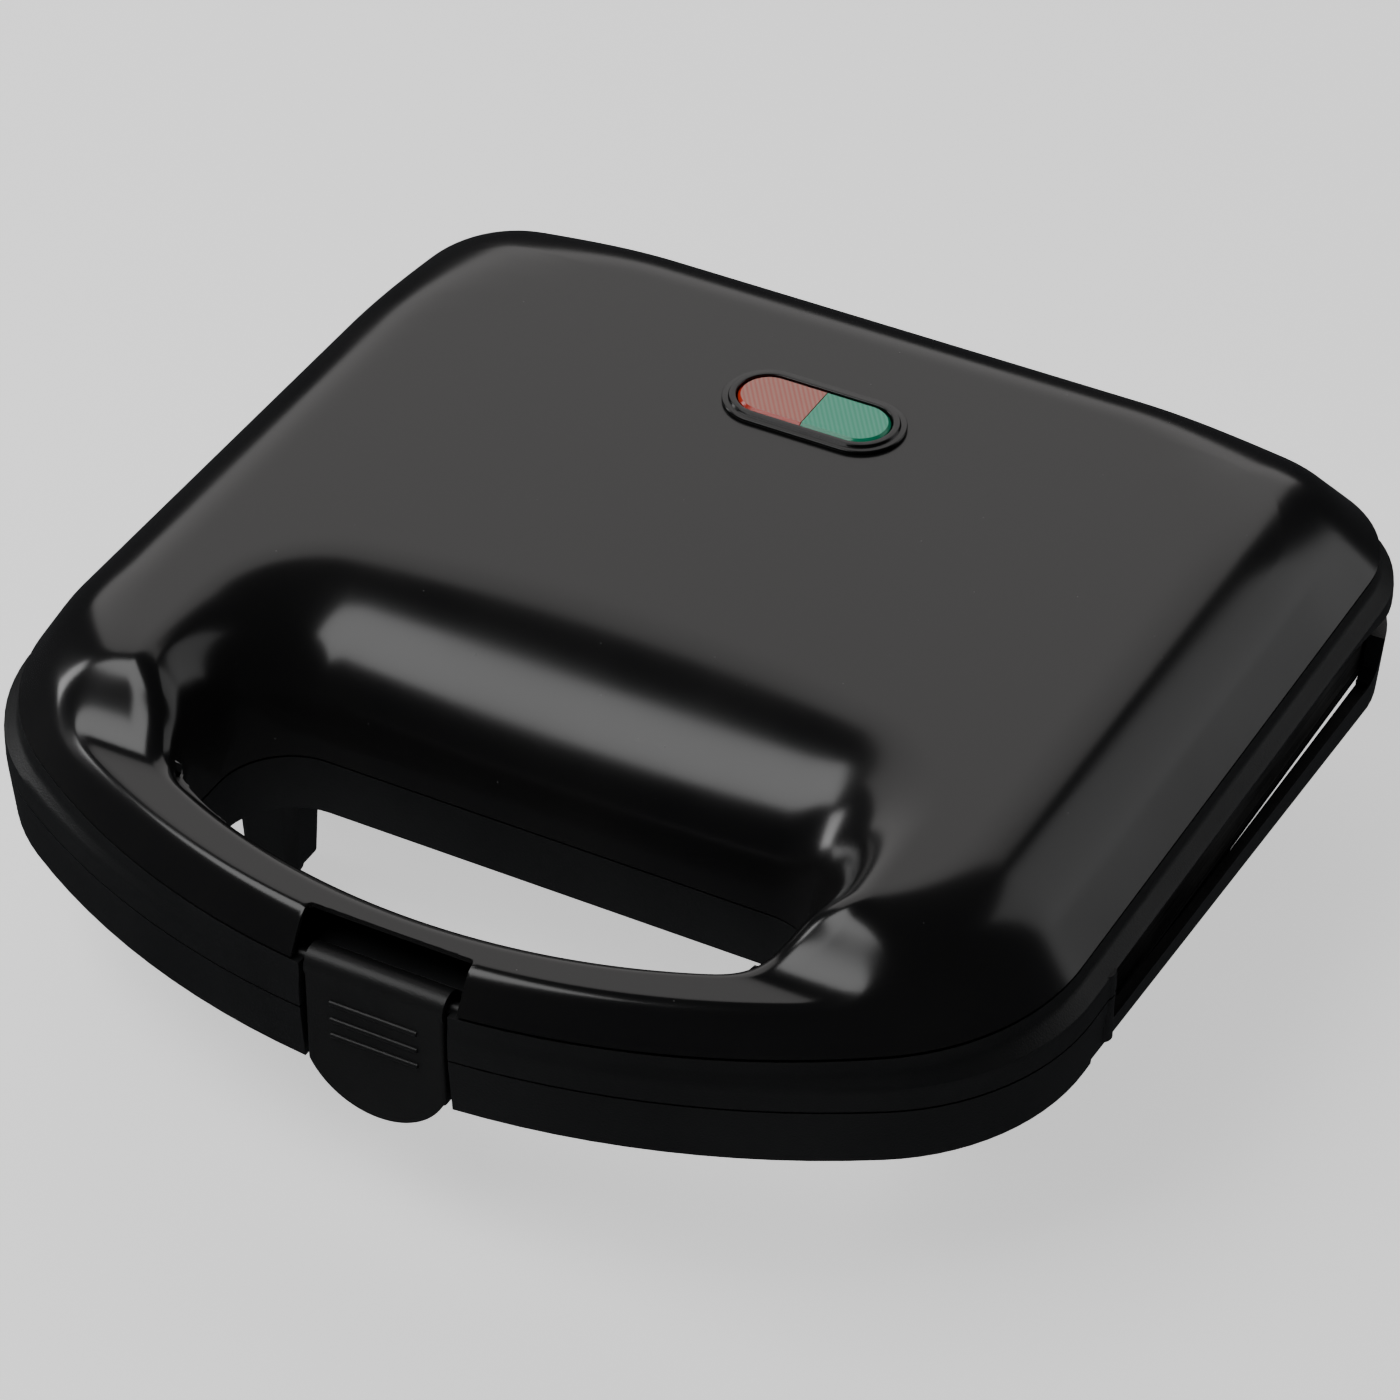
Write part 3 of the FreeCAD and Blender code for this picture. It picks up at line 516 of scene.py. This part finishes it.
def edge_height(x, y):
    """Straight foot, then a round, then the flat, between the seam and the outline of the flat top."""
    from_seam = max(depth_inside(SEAM, x, y), 0.0)
    from_top = -depth_inside(TOP, x, y)
    if from_top <= 0:
        return FLAT_Z
    d = EDGE_WIDTH * from_seam / (from_seam + from_top)
    centre_z = FLAT_Z - EDGE_R
    foot = EDGE_WIDTH - EDGE_R * EDGE_SLOPE / math.hypot(1, EDGE_SLOPE)
    if d >= EDGE_WIDTH:
        return FLAT_Z
    if d >= foot:
        return centre_z + math.sqrt(EDGE_R ** 2 - (EDGE_WIDTH - d) ** 2)
    return centre_z + math.sqrt(EDGE_R ** 2 - (EDGE_WIDTH - foot) ** 2) - (foot - d) * EDGE_SLOPE


def cover_height(x, y):
    shoulder = CREST_Z + SHOULDER * smooth_step((y - SHOULDER_Y[0]) / SHOULDER_Y[1])
    top = smooth_min(edge_height(x, y), shoulder)
    inside_rim = depth_inside(RIM, x, y)
    if inside_rim <= 0:
        return top
    outside = max(-depth_inside(HOLE, x, y), 0.0)
    lip = LIP_FRONT_Z + (LIP_BACK_Z - LIP_FRONT_Z) * smooth_step((y - LIP_Y[0]) / LIP_Y[1])
    share = (outside + EASE) / (outside + EASE + inside_rim)
    return lip + (top - lip) * math.sqrt(1 - (1 - share) ** 2)


print("handle crest", round(cover_height(0.03, -0.1145) * 1000, 2), "mm high")

# %% Wrap a grid into the cover's skin
AROUND = 400
ROWS = 76
WALL_ROWS = 5
HOLE_BAND = 45.0 * MM
SEAM_BAND = 30.0 * MM
COVER_WALL = 1.2 * MM


def row_share(k, length):
    """How far along the way from the opening to the seam a row lies."""
    r = (k - WALL_ROWS) / (ROWS - WALL_ROWS)
    hole_band = min(HOLE_BAND, 0.36 * length)
    seam_band = min(SEAM_BAND, 0.50 * length)
    if r <= 0.40:
        return hole_band * (r / 0.40) ** 1.7 / length
    if r >= 0.60:
        return 1 - seam_band * ((1 - r) / 0.40) ** 1.15 / length
    middle = length - hole_band - seam_band
    return (hole_band + middle * (r - 0.40) / 0.20) / length


def make_cover():
    bpy.ops.mesh.primitive_grid_add(x_subdivisions=AROUND, y_subdivisions=ROWS, size=1.0)
    cover = bpy.context.active_object
    cover.name = "cover_shell"
    hole_path, seam_path = half_outline(HOLE), half_outline(SEAM)
    for vertex in cover.data.vertices:
        u = 0.5 - vertex.co.x
        k = round((vertex.co.y + 0.5) * ROWS)
        hx, hy = around(hole_path, u)
        sx, sy = around(seam_path, u)
        share = row_share(max(k, WALL_ROWS), math.hypot(sx - hx, sy - hy))
        x, y = hx + (sx - hx) * share, hy + (sy - hy) * share
        z = cover_height(x, y)
        if k < WALL_ROWS:
            z = cover_low.z + (z - cover_low.z) * k / WALL_ROWS
        vertex.co = (x, y, z)
    select_only(cover)
    bpy.ops.object.mode_set(mode="EDIT")
    bpy.ops.mesh.select_all(action="SELECT")
    bpy.ops.mesh.remove_doubles(threshold=0.00001)
    bpy.ops.object.mode_set(mode="OBJECT")
    wall = cover.modifiers.new("wall", "SOLIDIFY")
    wall.thickness = COVER_WALL
    wall.offset = 1.0    # the grid's faces look down, so this puts the wall under the skin
    apply_modifiers(cover)
    for vertex in cover.data.vertices:
        if vertex.co.z < SEAM_Z and depth_inside(HOLE, vertex.co.x, vertex.co.y) < -5 * MM:
            vertex.co.z = SEAM_Z
    return cover


cover = make_cover()
print("cover:", len(cover.data.polygons), "faces")

# %% [markdown]
# Two openings are cut through the cover: the notch for the latch and the window for the lamps. A rounded
# block makes each cut. A cube with its upright edges bevelled is quicker and cleaner than a drawn outline.

# %% Rounded blocks and the two cuts
def rounded_block(name, low, high, radius, segments=8):
    """A cube at its place, with round upright edges."""
    bpy.ops.object.select_all(action="DESELECT")
    middle = [(a + b) / 2 for a, b in zip(low, high)]
    bpy.ops.mesh.primitive_cube_add(size=1.0, location=middle, scale=[b - a for a, b in zip(low, high)])
    block = bpy.context.active_object
    block.name = name
    bake_place(block)
    bpy.ops.object.mode_set(mode="EDIT")
    bpy.ops.mesh.select_all(action="DESELECT")
    bpy.ops.mesh.select_mode(type="EDGE")
    edit = bmesh.from_edit_mesh(block.data)
    for edge in edit.edges:
        a, b = edge.verts
        edge.select = abs(a.co.z - b.co.z) > 0.5 * (high[2] - low[2])
    bmesh.update_edit_mesh(block.data)
    bpy.ops.mesh.bevel(offset=radius, segments=segments, affect="EDGES")
    bpy.ops.object.mode_set(mode="OBJECT")
    return block


def cut(piece, cutter):
    """Subtract the cutter and throw it away."""
    boolean = piece.modifiers.new("cut", "BOOLEAN")
    boolean.object = cutter
    boolean.operation = "DIFFERENCE"
    boolean.solver = "EXACT"
    apply_modifiers(piece)
    bpy.data.objects.remove(cutter)


NOTCH_HALF = 18.6 * MM
NOTCH_BACK = -113.9 * MM
WINDOW = (39.0 * MM, 17.2 * MM)
NOTCH_ROUND = 1.2 * MM
CUT_FRONT = -140.0 * MM
CUT_TOP = 90.0 * MM
lamp = centre("lamp_bezel")
cut(cover, rounded_block("notch_cutter", (-NOTCH_HALF, CUT_FRONT, 40.0 * MM),
                         (NOTCH_HALF, NOTCH_BACK, CUT_TOP), NOTCH_ROUND))
cut(cover, rounded_block("window_cutter", (-WINDOW[0] / 2, lamp.y - WINDOW[1] / 2, 50.0 * MM),
                         (WINDOW[0] / 2, lamp.y + WINDOW[1] / 2, CUT_TOP), WINDOW[1] / 2 - 0.01 * MM, 12))
soft_edge = cover.modifiers.new("soft_edge", "BEVEL")
soft_edge.width = 0.35 * MM
soft_edge.segments = 2
soft_edge.limit_method = "ANGLE"
soft_edge.angle_limit = math.radians(50)
apply_modifiers(cover)
smooth(cover, 40)
even_shading(cover)
paint(cover, "gloss_black")
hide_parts("top_cover")
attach(cover, "lid")
print("cover:", len(cover.data.polygons), "faces after cuts")

# %% [markdown]
# ## Soft edges on the moulded pieces
# A moulded edge is never perfectly sharp, and its small round draws the thin bright line that makes a black
# piece readable. Each piece below is a copy of its CAD mesh with the doubles merged, its flat faces
# joined and its sharp edges rounded. Its shape and size stay as designed.

# %% Rounded copies of CAD pieces
def rounded_copy(node_name, body, width, degrees=35.0, segments=2):
    select_only(frame["nodes"][node_name])
    bpy.ops.object.duplicate()
    piece = bpy.context.active_object
    piece.name = node_name + "_finished"
    piece.parent = None
    bpy.ops.object.mode_set(mode="EDIT")
    bpy.ops.mesh.select_all(action="SELECT")
    bpy.ops.mesh.remove_doubles(threshold=0.000002)
    bpy.ops.mesh.dissolve_limited(angle_limit=math.radians(0.6))
    bpy.ops.object.mode_set(mode="OBJECT")
    soft = piece.modifiers.new("soft", "BEVEL")
    soft.width = width
    soft.segments = segments
    soft.limit_method = "ANGLE"
    soft.angle_limit = math.radians(degrees)
    apply_modifiers(piece)
    smooth(piece, 38)
    if segments < 4:
        even_shading(piece)
    paint(piece, SLOTS[node_name])
    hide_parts(node_name)
    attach(piece, body)
    return piece


ROUNDED = [("upper_frame", "lid", 0.35, 2), ("lower_frame", "base", 0.35, 2), ("latch", "latch", 0.45, 3),
           ("lamp_bezel", "lid", 0.55, 4), ("lower_housing", "base", 0.4, 2)]
for node_name, body, width, segments in ROUNDED:
    made = rounded_copy(node_name, body, width * MM, segments=segments)
    print(made.name, len(made.data.polygons), "faces")

for node_name, node in frame["nodes"].items():
    if not node.hide_render:
        smooth(node, 30)
